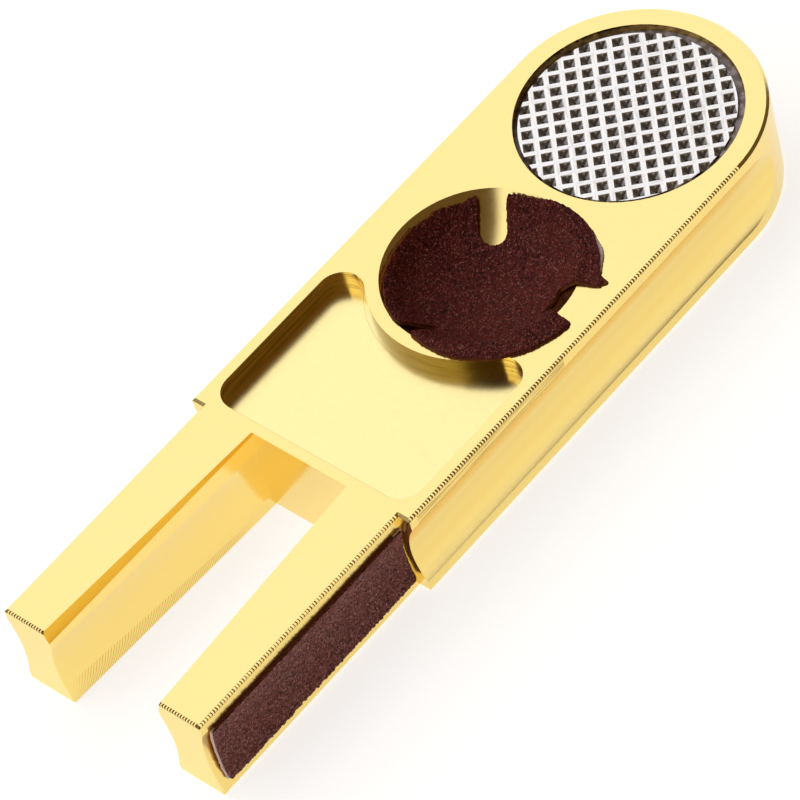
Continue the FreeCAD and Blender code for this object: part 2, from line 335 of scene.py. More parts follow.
def gold_finish():
    finish, tree, shader = new_finish("gold_plate", Metallic=1.0)
    point = point_in_mm(tree)
    split = add_node(tree, "ShaderNodeSeparateXYZ", {"Vector": point})
    x, y, z = split.outputs
    from_middle = calc(tree, "ABSOLUTE", y)
    facing = add_node(tree, "ShaderNodeNewGeometry").outputs["True Normal"]
    facing_up = add_node(tree, "ShaderNodeSeparateXYZ", {"Vector": facing}).outputs["Z"]
    upright = step_up(tree, calc(tree, "ABSOLUTE", facing_up), 0.6, 0.3)

    sides = place_group(tree, brushing, {"Point": point, "Stretch": (0.012, 1.0, 3.0), "Contrast": 1.1})
    past_recess = calc(tree, "MAXIMUM", calc(tree, "SUBTRACT", x, recess_x), 0.0)
    from_axis = add_node(tree, "ShaderNodeCombineXYZ", {"X": past_recess, "Y": y}).outputs[0]
    from_axis = add_node(tree, "ShaderNodeVectorMath", {0: from_axis}, operation="LENGTH").outputs["Value"]
    on_side = step_up(tree, from_axis, half_width - 1.9, half_width - 1.3)
    on_side = calc(tree, "MULTIPLY", on_side, upright)
    cloud = place_group(tree, brushing, {"Point": point, "Stretch": (0.8, 0.8, 0.8), "Contrast": 1.0})

    to_dish = add_node(tree, "ShaderNodeCombineXYZ", {"X": calc(tree, "SUBTRACT", x, dish_x), "Y": y})
    from_dish = add_node(tree, "ShaderNodeVectorMath", {0: to_dish.outputs[0]}, operation="LENGTH")
    radius = from_dish.outputs["Value"]
    in_dish = calc(tree, "MULTIPLY", step_up(tree, radius, rim_radius, rim_radius - 0.02),
                   step_up(tree, z, top - 0.01, top - 0.03))
    ring_point = add_node(tree, "ShaderNodeCombineXYZ", {"X": radius}).outputs[0]
    rings = add_node(tree, "ShaderNodeTexNoise", {"Vector": ring_point, "Scale": 6.0, "Detail": 2.0})

    wall = add_node(tree, "ShaderNodeMapping", {"Vector": point, "Scale": (0.12, 0.4, 5.0)}).outputs[0]
    stripes = add_node(tree, "ShaderNodeTexNoise", {"Vector": wall, "Scale": 1.0, "Detail": 3.0})
    pocket_wall = calc(tree, "MULTIPLY", between(tree, z, pocket_floor + 0.02, top - 0.02, 0.02),
                       between(tree, x, shoulder_x + 0.9, dish_x - 4.0))
    pocket_wall = calc(tree, "MULTIPLY", pocket_wall, upright)
    in_pocket = calc(tree, "MULTIPLY", between(tree, x, pocket_near + 0.02, dish_x, 0.02),
                     step_up(tree, from_middle, pocket_side + 0.05, pocket_side - 0.05))
    on_floor = calc(tree, "MULTIPLY", calc(tree, "SUBTRACT", 1.0, upright),
                    between(tree, z, pocket_floor - 0.1, pocket_floor + 0.1, 0.03))
    on_floor = calc(tree, "MULTIPLY", on_floor, in_pocket)
    on_ring = calc(tree, "MULTIPLY", upright, between(tree, radius, web_radius - 0.1, web_radius + 0.1))
    on_ring = calc(tree, "MULTIPLY", on_ring, in_pocket)
    tooth = calc(tree, "SINE", calc(tree, "MULTIPLY", x, 2 * math.pi / wall_tick_pitch))
    below_edge = between(tree, z, top - 0.22, top - 0.03, 0.02)
    ticks = calc(tree, "MULTIPLY", step_up(tree, tooth, 0.0, 0.6), below_edge)
    ticks = calc(tree, "MULTIPLY", ticks, pocket_wall)
    side_line = between(tree, from_middle, pocket_side - 0.44, pocket_side - 0.39, 0.015)
    ring_line = between(tree, radius, web_radius + 0.42, web_radius + 0.47, 0.015)
    tool_path = calc(tree, "MULTIPLY", calc(tree, "MAXIMUM", side_line, ring_line), on_floor)
    near_edge = calc(tree, "MULTIPLY", between(tree, x, pocket_near - 0.03, pocket_near + 0.01, 0.015),
                     step_up(tree, from_middle, pocket_side - 1.9, pocket_side - 2.1))
    near_edge = calc(tree, "MULTIPLY", near_edge, step_up(tree, z, top - 0.05, top - 0.01))

    slant = calc(tree, "MULTIPLY_ADD", z, -0.8, x)
    wave = calc(tree, "SINE", calc(tree, "MULTIPLY", slant, 2 * math.pi / slant_pitch))
    reach = calc(tree, "MULTIPLY_ADD", calc(tree, "SUBTRACT", shoulder_x, x), 0.06, 0.6)
    chatter_zone = calc(tree, "MULTIPLY", between(tree, y, 5.0, 7.3, 0.2),
                        between(tree, x, -body_high.x / MM + 1.5, shoulder_x - 4, 1.5))
    low = step_up(tree, calc(tree, "SUBTRACT", z, reach), 0.1, -0.1)
    chatter_zone = calc(tree, "MULTIPLY", chatter_zone, calc(tree, "MULTIPLY", low, upright))
    chatter = calc(tree, "MULTIPLY", step_up(tree, wave, 0.3, 0.9), chatter_zone)

    lines = calc(tree, "MULTIPLY", sides["Lines"], on_side)
    height = calc(tree, "MULTIPLY_ADD", calc(tree, "MULTIPLY", rings.outputs[0], in_dish), 4.5, lines)
    height = calc(tree, "MULTIPLY_ADD", calc(tree, "MULTIPLY", stripes.outputs[0], pocket_wall), 0.8, height)
    height = calc(tree, "MULTIPLY_ADD", cloud["Lines"], 0.12, height)
    height = calc(tree, "SUBTRACT", height, calc(tree, "MULTIPLY", chatter, 1.2))
    bump = add_node(tree, "ShaderNodeBump", {"Height": height, "Strength": 0.16, "Distance": 0.00002})
    tree.links.new(bump.outputs[0], shader.inputs["Normal"])

    # Painted reflection: upright faces get a warmer, more orange gold than the flat faces, for the warm tone
    # the sides reflect from below.
    gold = blend_colours(tree, upright, (0.945, 0.755, 0.31, 1), (0.965, 0.735, 0.235, 1))
    streak = calc(tree, "MULTIPLY", calc(tree, "MULTIPLY", sides["Bands"], on_side), 0.14)
    gold = blend_colours(tree, streak, gold, (0.86, 0.60, 0.17, 1))
    # The chatter marks are real and are also in the bump; their darker brown colour is painted shade in the
    # grooves.
    gold = blend_colours(tree, calc(tree, "MULTIPLY", chatter, 0.6), gold, (0.45, 0.26, 0.02, 1))
    gold = blend_colours(tree, on_floor, gold, (0.99, 0.84, 0.40, 1))
    # Painted shade: dark olive-brown stripes on the pocket's wall. The cutter lines are real; their dark
    # tone stands in for the dim room the wall reflects.
    striped = calc(tree, "MULTIPLY", pocket_wall, step_up(tree, stripes.outputs[0], 0.42, 0.60))
    gold = blend_colours(tree, calc(tree, "MULTIPLY", striped, 0.6), gold, (0.42, 0.24, 0.03, 1))
    # Painted highlights: the cutter's ticks just under the pocket wall's top edge are real, and are painted
    # lighter for the light they catch.
    gold = blend_colours(tree, ticks, gold, (1.0, 0.86, 0.40, 1))
    # Painted shade: the curved wall between the pocket and the dish is painted near black-brown, for the dim
    # room it reflects.
    gold = blend_colours(tree, calc(tree, "MULTIPLY", on_ring, 0.85), gold, (0.20, 0.13, 0.012, 1))
    gold = blend_colours(tree, calc(tree, "MULTIPLY", tool_path, 0.55), gold, (0.50, 0.36, 0.10, 1))
    # Painted shade: a dark line along the top edge where the pocket begins.
    gold = blend_colours(tree, calc(tree, "MULTIPLY", near_edge, 0.7), gold, (0.42, 0.28, 0.06, 1))
    nicks = place_group(tree, speckle, {"Point": point, "Spacing": 2.6, "Size": 0.045, "Share": 0.22})
    gold = blend_colours(tree, nicks["Spots"], gold, (0.60, 0.42, 0.12, 1))
    tree.links.new(gold, shader.inputs["Base Color"])

    rough = calc(tree, "MULTIPLY_ADD", cloud["Lines"], 0.08, 0.13)
    rough = calc(tree, "MULTIPLY_ADD", on_side, 0.06, rough)
    rough = calc(tree, "MULTIPLY_ADD", on_floor, 0.06, rough)
    tree.links.new(rough, shader.inputs["Roughness"])
    return finish


def dress(node, finish):
    """Give a carried-over node this finish in every slot."""
    materials = nodes[node].data.materials
    for slot in range(len(materials)):
        materials[slot] = finish
    if not materials:
        materials.append(finish)


gold = gold_finish()
dress("tool_body", gold)
print("gold finish has", len(gold.node_tree.nodes), "nodes")

# %% [markdown]
# ## Scuffing disc
#
# The disc is a stamped steel plate: square pits in rows, with flat webs between them. A grid whose
# every face is inset twice gives the pits, first level to leave the web, then downwards to a small
# flat. The plate is then cut round with a boolean, so that pits at the edge are left half open,
# as a punched blank leaves them.

# %% Mesh helpers
def to_object(shape, name, finishes, smooth=False):
    """Object at the origin from a bmesh, linked to the scene."""
    mesh = bpy.data.meshes.new(name)
    shape.to_mesh(mesh)
    shape.free()
    for finish in finishes:
        mesh.materials.append(finish)
    mesh.polygons.foreach_set("use_smooth", [smooth] * len(mesh.polygons))
    piece = bpy.data.objects.new(name, mesh)
    bpy.context.scene.collection.objects.link(piece)
    return piece


def open_edges(shape):
    return [edge for edge in shape.edges if edge.is_boundary]


def of_kind(result, kind):
    return [part for part in result["geom"] if isinstance(part, kind)]


# %% Steel finish
face_z = disc_high.z
pit_pitch, pit_size, pit_depth, pit_lip = 1.51, 0.97, 0.46, 0.04
pit_phase = Vector((1.43, 1.46, 0))
row_angle = math.radians(44.6)


def pit_place(tree, point):
    """Place inside the nearest pit, measured from its middle along the rows."""
    from_disc = add_node(tree, "ShaderNodeVectorMath", {0: point, 1: (disc_x, disc_y, 0)},
                         operation="SUBTRACT").outputs[0]
    along_rows = add_node(tree, "ShaderNodeMapping", {"Vector": from_disc, "Rotation": (0, 0, -row_angle)})
    from_pit = add_node(tree, "ShaderNodeVectorMath", {0: along_rows.outputs[0], 1: tuple(pit_phase)},
                        operation="SUBTRACT").outputs[0]
    half = pit_pitch / 2
    limits = {0: from_pit, 1: (half, half, 99), 2: (-half, -half, -99)}
    wrapped = add_node(tree, "ShaderNodeVectorMath", limits, operation="WRAP").outputs[0]
    u, v, _ = add_node(tree, "ShaderNodeSeparateXYZ", {"Vector": wrapped}).outputs
    return u, calc(tree, "ABSOLUTE", v)


def steel_finish():
    finish, tree, shader = new_finish("stamped_steel", Metallic=1.0)
    point = point_in_mm(tree)
    depth = add_node(tree, "ShaderNodeSeparateXYZ", {"Vector": point}).outputs["Z"]
    in_pit = step_up(tree, depth, face_z - 0.03, face_z - 0.10)
    turned = add_node(tree, "ShaderNodeMapping", {"Vector": point, "Rotation": (0, 0, row_angle)})
    rolled = place_group(tree, brushing, {"Point": turned.outputs[0], "Stretch": (0.3, 5.0, 1.0),
                                          "Contrast": 1.5})
    dirt = place_group(tree, speckle, {"Point": point, "Spacing": 0.9, "Size": 0.07, "Share": 0.16})
    web = blend_colours(tree, rolled["Lines"], (0.86, 0.85, 0.86, 1), (0.97, 0.96, 0.97, 1))
    web = blend_colours(tree, dirt["Spots"], web, (0.30, 0.28, 0.28, 1))
    patina = add_node(tree, "ShaderNodeTexNoise", {"Vector": point, "Scale": 5.0, "Detail": 3.0})
    u, across = pit_place(tree, point)
    web_middle = pit_pitch / 2 - 0.05
    from_centre = calc(tree, "MAXIMUM", calc(tree, "ABSOLUTE", u), across)
    seam = step_up(tree, from_centre, web_middle, web_middle + 0.04)
    seam = calc(tree, "MULTIPLY", seam, step_up(tree, patina.outputs[0], 0.42, 0.62))
    web = blend_colours(tree, calc(tree, "MULTIPLY", seam, 0.45), web, (0.45, 0.44, 0.45, 1))
    # Painted shade and highlight in the pits: the left and right facets are painted lighter, the near facet
    # and the bottom near black, and the top of the far facet white as a highlight. The patina noise adds the
    # pits' own uneven tone.
    lit_side_facets = step_up(tree, calc(tree, "SUBTRACT", across, calc(tree, "ABSOLUTE", u)), -0.02, 0.08)
    facet_shading_and_patina = calc(tree, "MULTIPLY_ADD", lit_side_facets, 0.65, calc(tree, "MULTIPLY", patina.outputs[0], 0.4))
    pit = blend_colours(tree, facet_shading_and_patina, (0.10, 0.098, 0.10, 1), (0.72, 0.70, 0.71, 1))
    near = step_up(tree, u, -0.26, -0.34)
    shaded_pit_bottom = step_up(tree, from_centre, 0.12, 0.05)
    pit = blend_colours(tree, calc(tree, "MAXIMUM", near, shaded_pit_bottom), pit, (0.03, 0.03, 0.032, 1))
    notch = step_up(tree, calc(tree, "SUBTRACT", u, across), 0.29, 0.33)
    pit = blend_colours(tree, notch, pit, (0.95, 0.94, 0.95, 1))
    tree.links.new(blend_colours(tree, in_pit, web, pit), shader.inputs["Base Color"])
    rough = calc(tree, "MULTIPLY_ADD", rolled["Lines"], 0.12, 0.22)
    tree.links.new(calc(tree, "MULTIPLY_ADD", in_pit, 0.15, rough), shader.inputs["Roughness"])
    height = calc(tree, "MULTIPLY_ADD", patina.outputs[0], 0.6, rolled["Lines"])
    bump = add_node(tree, "ShaderNodeBump", {"Height": height, "Strength": 0.25, "Distance": 0.00002})
    tree.links.new(bump.outputs[0], shader.inputs["Normal"])
    return finish


# %% Pitted plate
def pitted_plate(rows):
    """Square plate with rows of pits, closed below, in the disc's own place."""
    plate = bmesh.new()
    bmesh.ops.create_grid(plate, x_segments=rows, y_segments=rows, size=rows * pit_pitch / 2)
    bmesh.ops.translate(plate, vec=pit_phase - Vector((1, 1, 0)) * pit_pitch / 2, verts=plate.verts)
    cells = plate.faces[:]
    web = (pit_pitch - pit_size) / 2
    bmesh.ops.inset_individual(plate, faces=cells, thickness=web - pit_lip, use_even_offset=True)
    bmesh.ops.inset_individual(plate, faces=cells, thickness=pit_lip, depth=-pit_lip / 2,
                               use_even_offset=True)
    slope = pit_size / 2 - 0.06
    bmesh.ops.inset_individual(plate, faces=cells, thickness=slope, depth=-pit_depth, use_even_offset=True)
    draw = random.Random(4)
    for vert in plate.verts:
        if vert.co.z < -pit_lip:
            vert.co.x += draw.uniform(-0.03, 0.03)
            vert.co.y += draw.uniform(-0.03, 0.03)
            vert.co.z += draw.uniform(-0.03, 0.05)
        elif not vert.is_boundary:
            vert.co += Vector([draw.uniform(-0.012, 0.012) for _ in range(3)])
    skirt = bmesh.ops.extrude_edge_only(plate, edges=open_edges(plate))
    thickness = disc_high.z - disc_low.z
    for vert in of_kind(skirt, bmesh.types.BMVert):
        vert.co.z = -thickness
    bmesh.ops.holes_fill(plate, edges=open_edges(plate), sides=0)
    bmesh.ops.recalc_face_normals(plate, faces=plate.faces)
    turn = Matrix.Rotation(row_angle, 4, "Z")
    place = Matrix.Translation(Vector((disc_x, disc_y, face_z)))
    bmesh.ops.transform(plate, matrix=Matrix.Scale(MM, 4) @ place @ turn, verts=plate.verts)
    return plate


def round_blank(radius, low, high, segments):
    blank = bmesh.new()
    bmesh.ops.create_cone(blank, cap_ends=True, segments=segments, radius1=radius, radius2=radius,
                          depth=high - low)
    place = Matrix.Translation(Vector((disc_x, disc_y, (high + low) / 2)))
    bmesh.ops.transform(blank, matrix=Matrix.Scale(MM, 4) @ place, verts=blank.verts)
    return blank


steel = steel_finish()
plate = to_object(pitted_plate(rows=16), "plate_blank", [steel])
punch = to_object(round_blank(disc_radius, disc_low.z, disc_high.z + 1, 160), "punch", [steel])
cut = plate.modifiers.new("punched", "BOOLEAN")
cut.operation, cut.object, cut.solver = "INTERSECT", punch, "EXACT"
bpy.context.view_layer.update()
punched = bpy.data.meshes.new_from_object(plate.evaluated_get(bpy.context.evaluated_depsgraph_get()))
disc = bpy.data.objects.new("pitted_disc", punched)
bpy.context.scene.collection.objects.link(disc)
for spare in (plate, punch):
    bpy.data.objects.remove(spare)
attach(disc, "root")
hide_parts("scuffing_disc")
print("disc faces:", len(disc.data.polygons), "materials:", len(disc.data.materials))

# %% [markdown]
# ## Glue round the disc
#
# The disc sits a little off centre in its recess, so the ring of glue squeezed up round it is wide
# on one side and thin on the other. Two loops bridged and subdivided make the ring; its surface
# then sags between the disc and the wall, and stands highest where the gap is widest.

# %% Glue finish and ring
def glue_finish():
    finish, tree, shader = new_finish("grey_glue", Coat_Roughness=0.35)
    point = point_in_mm(tree)
    mottle = add_node(tree, "ShaderNodeTexNoise", {"Vector": point, "Scale": 1.3, "Detail": 5.0})
    dust = place_group(tree, speckle, {"Point": point, "Spacing": 0.5, "Size": 0.09, "Share": 0.3})
    body = blend_colours(tree, step_up(tree, mottle.outputs[0], 0.35, 0.65),
                         (0.17, 0.13, 0.14, 1), (0.46, 0.41, 0.45, 1))
    tree.links.new(blend_colours(tree, dust["Spots"], body, (0.55, 0.50, 0.52, 1)),
                   shader.inputs["Base Color"])
    tree.links.new(calc(tree, "MULTIPLY_ADD", mottle.outputs[0], 0.4, 0.35), shader.inputs["Roughness"])
    bump = add_node(tree, "ShaderNodeBump", {"Height": mottle.outputs[0], "Strength": 0.6,
                                             "Distance": 0.0001})
    tree.links.new(bump.outputs[0], shader.inputs["Normal"])
    return finish


def glue_height(angle):
    """Height of the glue round the disc: most where the gap is widest."""
    widest = math.radians(-40)
    share = (1 + math.cos(angle - widest)) / 2
    wave = noise.noise(Vector((math.cos(angle), math.sin(angle), 0)) * 4)
    return recess_low.z + 0.85 + 0.42 * share ** 2 + 0.10 * wave


def glue_ring(segments):
    ring = bmesh.new()
    centre = Matrix.Translation(Vector((recess_x, 0, 0)))
    shifted = Matrix.Translation(Vector((disc_x, disc_y, 0)))
    bmesh.ops.create_circle(ring, segments=segments, radius=recess_radius - 0.01, matrix=centre)
    bmesh.ops.create_circle(ring, segments=segments, radius=disc_radius + 0.005, matrix=shifted)
    bmesh.ops.bridge_loops(ring, edges=ring.edges[:])
    across = [edge for edge in ring.edges if not edge.is_boundary]
    bmesh.ops.subdivide_edges(ring, edges=across, cuts=3, use_grid_fill=True)
    floor = ring.faces[:]
    surface = of_kind(bmesh.ops.extrude_face_region(ring, geom=floor), bmesh.types.BMVert)
    raised = set(surface)
    for vert in ring.verts:
        if vert in raised:
            from_recess = Vector((vert.co.x - recess_x, vert.co.y)).length
            from_disc = Vector((vert.co.x - disc_x, vert.co.y - disc_y)).length
            gap = (recess_radius - from_recess) + (from_disc - disc_radius)
            sag = 0.25 * (recess_radius - from_recess) * (from_disc - disc_radius) / max(gap, 0.01)
            angle = math.atan2(vert.co.y, vert.co.x - recess_x)
            vert.co.z = glue_height(angle) - sag
        else:
            vert.co.z = recess_low.z
    bmesh.ops.recalc_face_normals(ring, faces=ring.faces)
    bmesh.ops.scale(ring, vec=(MM, MM, MM), verts=ring.verts)
    return ring


glue = to_object(glue_ring(segments=160), "glue_ring", [glue_finish()], smooth=True)
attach(glue, "root")
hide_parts("disc_glue")
print("glue faces:", len(glue.data.polygons))

# %% [markdown]
# ## Abrasive paper
#
# Each piece of abrasive paper has three layers: adhesive film, paper, and resin full of grain.
# All of them are sheets that follow the metal under them, so one function builds every sheet. It
# starts from a fine flat grid, drops the cells outside the outline, draws the edge onto the
# outline, and extrudes the rest into a closed sheet. Then each point is put in its place: the
# sheet's own flat coordinates and its height above the metal become a point on the tool.
#
# The grain is real geometry. Every point of the top side gets its own seeded height, and the
# faces are left flat, so that single grains catch the light as they do on the real paper.

# %% Sheets that follow the metal
def cut_to_outline(sheet, cell, margin):
    """Drop what lies outside the outline and pull the edge onto it; margin is 0 on the outline."""
    spare = [vert for vert in sheet.verts if margin(vert.co.x, vert.co.y) < -cell / 2]
    bmesh.ops.delete(sheet, geom=spare, context="VERTS")
    stray = [vert for vert in sheet.verts if not vert.link_faces]
    bmesh.ops.delete(sheet, geom=stray, context="VERTS")
    nudge = cell / 5
    for vert in [vert for vert in sheet.verts if vert.is_boundary]:
        x, y = vert.co.xy
        here = margin(x, y)
        slope = Vector((margin(x + nudge, y) - here, margin(x, y + nudge) - here)) / nudge
        if slope.length > 0.2:
            step = slope * (here / slope.length_squared)
            step.length = min(step.length, cell)
            vert.co.x -= step.x
            vert.co.y -= step.y


paper_ceiling = cad_box[1].z / MM - 0.002


def grow_sheet(name, finish, size, cell, margin, place, near, far, grain=0.0, seed=1):
    """Closed sheet between two heights above the metal; every length is in millimetres."""
    sheet = bmesh.new()
    across, along = round(size[0] / cell), round(size[1] / cell)
    bmesh.ops.create_grid(sheet, x_segments=across, y_segments=along, size=0.5)
    bmesh.ops.scale(sheet, vec=(size[0], size[1], 1), verts=sheet.verts)
    cut_to_outline(sheet, cell, margin)
    raised = bmesh.ops.extrude_face_region(sheet, geom=sheet.faces[:])
    surface = set(of_kind(raised, bmesh.types.BMVert))
    draw = random.Random(seed)
    for vert in sheet.verts:
        height = near
        if vert in surface:
            u, v = vert.co.xy
            clump = noise.noise(Vector((u, v, seed)) * 2.4)
            height = far + grain * (draw.random() ** 1.5 + 0.35 * clump)
        spot = place(vert.co.x, vert.co.y, height)
        spot.z = min(spot.z, paper_ceiling)
        vert.co = spot * MM
    bmesh.ops.recalc_face_normals(sheet, faces=sheet.faces)
    closed = not open_edges(sheet)
    piece = to_object(sheet, name, [finish], smooth=grain == 0)
    print(f"{name}: {len(piece.data.polygons)} faces, closed {closed}")
    return piece


# %% [markdown]
# ### Finish of the abrasive, the paper and the film
#
# Aluminium oxide grain in dark red resin: mostly maroon, with lighter grains, a few that glint,
# and redder patches where the resin is worn. The paper under it is pale and fibrous at its cut edge.
# The film is a thin amber line.

# %% Paper finishes
def abrasive_finish(name, dark, light, glint):
    finish, tree, shader = new_finish(name, Specular_IOR_Level=0.15)
    point = point_in_mm(tree)
    coarse = place_group(tree, grit, {"Point": point, "Grain": 0.17})
    fine = place_group(tree, grit, {"Point": point, "Grain": 0.11})
    shade = calc(tree, "MULTIPLY_ADD", coarse["Shade"], 0.45, calc(tree, "MULTIPLY", fine["Shade"], 0.55))
    body = blend_colours(tree, step_up(tree, shade, 0.25, 0.85), dark, light)
    worn = calc(tree, "MULTIPLY", coarse["Patches"], 0.3)
    body = blend_colours(tree, worn, body, (0.20, 0.03, 0.02, 1))
    body = blend_colours(tree, fine["Glint"], body, glint)
    tree.links.new(body, shader.inputs["Base Color"])
    tree.links.new(calc(tree, "MULTIPLY_ADD", fine["Shade"], 0.5, 0.35), shader.inputs["Roughness"])
    bump = add_node(tree, "ShaderNodeBump", {"Height": fine["Height"], "Strength": 0.5, "Distance": 0.00005})
    tree.links.new(bump.outputs[0], shader.inputs["Normal"])
    return finish


def clean_cut(tree, point):
    """1 where a cut edge of the paper is clean and pale: the disc's right side and the strips' ends."""
    x, y, z = add_node(tree, "ShaderNodeSeparateXYZ", {"Vector": point}).outputs
    right = calc(tree, "MULTIPLY", between(tree, x, dish_x + 4.5, dish_x + 11, 0.5),
                 between(tree, y, -9.5, -4.5, 0.5))
    tip_end = step_up(tree, x, strip_low.x + 0.6, strip_low.x + 0.3)
    root_end = calc(tree, "MULTIPLY", between(tree, x, strip_high.x - 0.6, strip_high.x + 1, 0.1),
                    step_up(tree, z, strip_high.z - 1.4, strip_high.z - 0.9))
    root_end = calc(tree, "MULTIPLY", root_end, step_up(tree, calc(tree, "ABSOLUTE", y), 10.0, 10.5))
    return calc(tree, "MAXIMUM", calc(tree, "MAXIMUM", right, tip_end), root_end)


def paper_finish(name, dark, light, fibre_scale):
    finish, tree, shader = new_finish(name, Specular_IOR_Level=0.3)
    point = point_in_mm(tree)
    fibres = place_group(tree, brushing, {"Point": point, "Stretch": (1.2, 1.2, 6.0), "Contrast": 1.8})
    stain = add_node(tree, "ShaderNodeTexNoise", {"Vector": point, "Scale": fibre_scale, "Detail": 4.0})
    mix = calc(tree, "MULTIPLY_ADD", fibres["Lines"], 0.4, step_up(tree, stain.outputs[0], 0.2, 0.5))
    mix = calc(tree, "MULTIPLY", mix, clean_cut(tree, point))
    tree.links.new(blend_colours(tree, mix, dark, light), shader.inputs["Base Color"])
    tree.links.new(calc(tree, "MULTIPLY_ADD", stain.outputs[0], 0.4, 0.5), shader.inputs["Roughness"])
    bump = add_node(tree, "ShaderNodeBump", {"Height": fibres["Lines"], "Strength": 0.6,
                                             "Distance": 0.00004})
    tree.links.new(bump.outputs[0], shader.inputs["Normal"])
    return finish


dish_grit = abrasive_finish("maroon_abrasive", (0.036, 0.006, 0.006, 1), (0.205, 0.032, 0.028, 1),
                            (0.36, 0.13, 0.11, 1))
strip_grit = abrasive_finish("brown_abrasive", (0.09, 0.028, 0.024, 1), (0.32, 0.115, 0.095, 1),
                             (0.42, 0.20, 0.17, 1))
strip_low, strip_high = [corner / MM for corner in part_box("right_prong_abrasive")]
paper = paper_finish("fibrous_paper", (0.20, 0.055, 0.030, 1), (0.85, 0.68, 0.64, 1), 1.1)
film = paper_finish("amber_film", (0.25, 0.075, 0.010, 1), (0.50, 0.22, 0.05, 1), 2.0)
print("paper finishes:", ", ".join(f.name for f in (dish_grit, strip_grit, paper, film)))

# %% [markdown]
# ### The disc of paper in the dish
#
# A flat disc can't take the shape of a bowl, so three relief cuts were made before it was pressed
# in: a round-ended slot that stands open, a wide notch on the near side, and a short one whose
# sides have nearly met. The disc lies off centre, so one side reaches over the rim. It is too
# stiff to follow the steep wall, and stands a little off it just inside the rim.

# %% Outline of the dish paper
paper_middle, paper_radius = Vector((-0.12, -1.38)), 9.5


def rounded_least(first, second, radius):
    """Smaller of two distances, with this radius where both run out together."""
    over = Vector((max(radius - first, 0), max(radius - second, 0)))
    return radius - over.length if over.length > 0 else min(first, second)


def bell(value, middle, spread):
    return math.exp(-((value - middle) / spread) ** 2)


def turn_from(angle, middle):
    """Angle from middle in degrees, between -180 and 180."""
    return (angle - middle + 180) % 360 - 180


def slot_margin(x, y, angle, half, end):
    """Distance outside a round-ended radial slot that runs outwards from end."""
    direction = Vector((math.cos(math.radians(angle)), math.sin(math.radians(angle))))
    along = x * direction.x + y * direction.y - (end + half)
    across = abs(x * direction.y - y * direction.x)
    return (math.hypot(along, across) if along < 0 else across) - half


def notch_margin(x, y, start, end, depth_radius):
    """Distance outside a notch between two angles, cut in as far as depth_radius."""
    radius, angle = math.hypot(x, y), math.degrees(math.atan2(y, x))
    middle = (start + end) / 2
    off = abs(turn_from(angle, middle)) - (end - start) / 2
    beside = math.radians(off) * radius
    inside = depth_radius - radius
    if beside > 0 and inside > 0:
        return math.hypot(beside, inside)
    return max(beside, inside)


def dish_margin(x, y, fringe=0.0):
    """Distance inside the outline of the paper in the dish."""
    angle = math.degrees(math.atan2(y, x))
    pulled = 0.65 * bell(turn_from(angle, 8), 0, 22) + 0.3 * bell(turn_from(angle, 52), 0, 9)
    pulled += 0.4 * bell(turn_from(angle, 180), 0, 18) - 0.45 * bell(turn_from(angle, -68), 0, 2.5)
    wave = 0.10 * noise.noise(Vector((x, y, 3)) * 0.8) + 0.07 * noise.noise(Vector((x, y, 7)) * 5)
    edge = paper_radius - math.hypot(x - paper_middle.x, y - paper_middle.y) - pulled + wave
    margin = edge
    cuts = [slot_margin(x, y, 33, 1.36, 4.75), notch_margin(x, y, -94, -70.5, 7.1)]
    for cut in cuts + [short_cut_margin(x, y)]:
        margin = rounded_least(margin, cut + wave, 0.35)
    return margin + fringe


def short_cut_margin(x, y):
    """Distance outside the short cut, which narrows from the edge to its end."""
    mouth, end = Vector((-9.1, 1.35)), Vector((-6.45, 0.45))
    axis = end - mouth
    share = min(max((Vector((x, y)) - mouth).dot(axis) / axis.length_squared, -0.5), 1)
    nearest = mouth + axis * share
    return (Vector((x, y)) - nearest).length - (0.95 - 0.6 * share)


def on_dish(x, y, height):
    """Point that lies this far above the dish or, past its rim, above the top face."""
    radius = math.hypot(x, y)
    bowl = sphere_radius - height
    rim_share = rim_radius / sphere_radius
    if radius < bowl * rim_share:
        level = sphere_z - math.sqrt(bowl ** 2 - radius ** 2)
    elif radius < rim_radius:
        level = top + math.sqrt(max(height ** 2 - (rim_radius - radius) ** 2, 0))
    else:
        level = top + height
    lift = 0.34 * bell(radius, 8.1, 1.0)
    return Vector((dish_x + x, y, level + lift))


def white_edge(x, y):
    """Wider just where the cut edge of the paper shows pale."""
    angle = math.degrees(math.atan2(y, x))
    return 0.34 * bell(turn_from(angle, -50), 0, 9)


def film_fringe(x, y):
    """The film shows a little all round, and stands out as a torn tip beside the wide notch."""
    angle = math.degrees(math.atan2(y, x))
    return 0.12 + 0.5 * bell(turn_from(angle, -67.5), 0, 2.0)


dish_size = (22.5, 22.5)
dish_film = grow_sheet("dish_film", film, dish_size, 0.2,
                       lambda x, y: dish_margin(x, y, film_fringe(x, y)), on_dish, 0.0, 0.06)
dish_paper = grow_sheet("dish_paper", paper, dish_size, 0.16,
                        lambda x, y: dish_margin(x, y, 0.04 + white_edge(x, y)), on_dish, 0.06, 0.20)
dish_abrasive = grow_sheet("dish_abrasive_sheet", dish_grit, dish_size, 0.105,
                           dish_margin, on_dish, 0.20, 0.31, grain=0.085, seed=11)
for piece, node, slot in ((dish_film, "dish_tape", "adhesive_film"),
                          (dish_paper, "dish_backing", "backing_paper"),
                          (dish_abrasive, "dish_abrasive", "abrasive_grit")):
    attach(piece, "root")
    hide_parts(node)

# %% [markdown]
# ### Strips on the prongs
#
# The strips lie in the round grooves down the outside of the prongs. They were cut with shears, so
# their long edges are a little ragged, and their ends show the pale paper. The same sheet function
# serves, with the groove in place of the dish.

